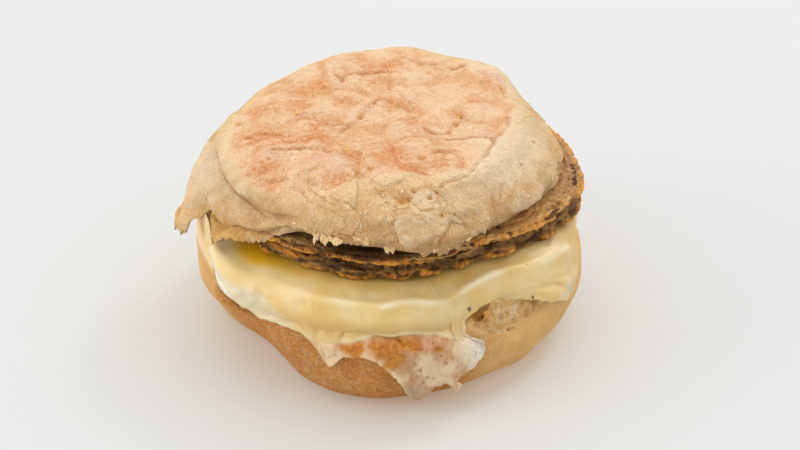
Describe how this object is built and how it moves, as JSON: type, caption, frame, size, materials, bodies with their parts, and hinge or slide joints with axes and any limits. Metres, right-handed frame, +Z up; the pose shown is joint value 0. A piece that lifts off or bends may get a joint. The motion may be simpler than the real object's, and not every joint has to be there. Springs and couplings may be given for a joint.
{
  "type": "breakfast sandwich on a split english muffin",
  "caption": "A breakfast sandwich: a toasted split muffin holding an egg white patty, melted cheese that hangs down its side in drips, and a browned sausage patty.",
  "frame": {"origin": "under the middle of the sandwich, on the surface that it stands on", "axes": "+Z is up through the layers; +Y is the back and -Y the front, where the cheese drips; the loose tab of dough is on the -X side"},
  "size_m": [0.1018, 0.0981, 0.055],
  "materials": {
    "muffin_bottom": "matte brown crust with a dusting of flour",
    "egg_patty": "moist off-white",
    "melted_cheese": "smooth pale yellow with a soft shine",
    "sausage_patty": "grey-brown with crisp orange-brown rims",
    "muffin_top": "matte pale floury dough, toasted on its face"
  },
  "bodies": {
    "root": {"muffin_bottom": "muffin_bottom", "egg_patty": "egg_patty", "melted_cheese": "melted_cheese", "sausage_patty": "sausage_patty", "muffin_top": "muffin_top"}
  },
  "joints": []
}
